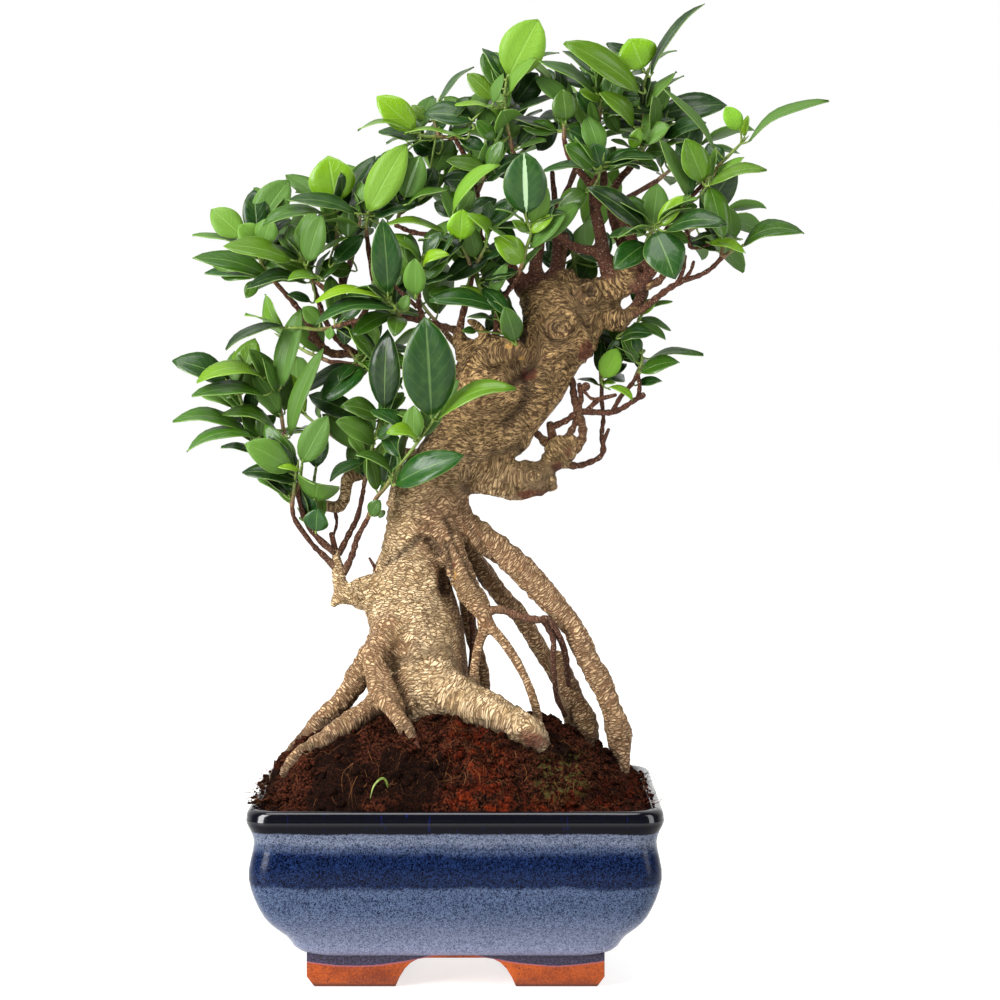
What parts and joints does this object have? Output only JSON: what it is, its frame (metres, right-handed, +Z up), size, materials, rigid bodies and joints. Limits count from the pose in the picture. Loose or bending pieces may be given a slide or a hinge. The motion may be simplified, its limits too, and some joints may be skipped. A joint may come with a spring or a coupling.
{
  "type": "potted bonsai tree",
  "caption": "Chinese banyan bonsai with a leaning trunk, aerial roots and glossy leaves, standing in mounded soil in a rectangular glazed pot on feet.",
  "frame": {"origin": "centre of the bounding box at its bottom, on the surface that the feet stand on", "axes": "+Z up, +X to the right and -Y towards the viewer of the picture; the pot is long along X"},
  "size_m": [0.3752, 0.1758, 0.5561],
  "materials": {
    "glaze": "glossy speckled blue glaze, bare orange clay on the feet",
    "soil": "dark crumbly soil with coir fibres",
    "bark": "grey-brown wrinkled bark",
    "leaf": "glossy green leaves"
  },
  "bodies": {
    "root": {"pot": "glaze", "soil": "soil", "trunk": "bark", "leftTipSpray": "leaf", "tipInnerSpray": "leaf", "lowTipSpray": "leaf", "lowFrontSpray": "leaf", "lowUnderSpray": "leaf", "lowHubSpray": "leaf", "frontSpray": "leaf", "leftLowSpray": "leaf", "leftFarSpray": "leaf", "leftMiddleSpray": "leaf", "leftUpperSpray": "leaf", "leftInnerSpray": "leaf", "leafTwigSpray": "leaf", "middleFrontSpray": "leaf", "middleTwigSpray": "leaf", "stumpTopSpray": "leaf", "stumpRightSpray": "leaf", "stumpLowSpray": "leaf", "stumpBackSpray": "leaf", "hubTopSpray": "leaf", "topInnerSpray": "leaf", "topCentreSpray": "leaf", "crownSpray": "leaf", "crownLeftSpray": "leaf", "crownInnerSpray": "leaf", "innerLeftSpray": "leaf", "topRightSpray": "leaf", "rightUpperSpray": "leaf", "rightHubSpray": "leaf", "rightTopSpray": "leaf", "rightLowSpray": "leaf", "rightTwigSpray": "leaf", "rightLongSpray": "leaf", "rightKneeSpray": "leaf", "headLowSpray": "leaf", "backLeftLowSpray": "leaf", "backLeftMidSpray": "leaf", "backLeftHighSpray": "leaf", "backInnerHighSpray": "leaf", "backStumpSpray": "leaf", "backCentreSpray": "leaf", "backTopSpray": "leaf", "backTopRightSpray": "leaf", "backRightSpray": "leaf", "backRightLowSpray": "leaf", "backHeadSpray": "leaf", "grassBlade": "leaf"}
  },
  "joints": []
}
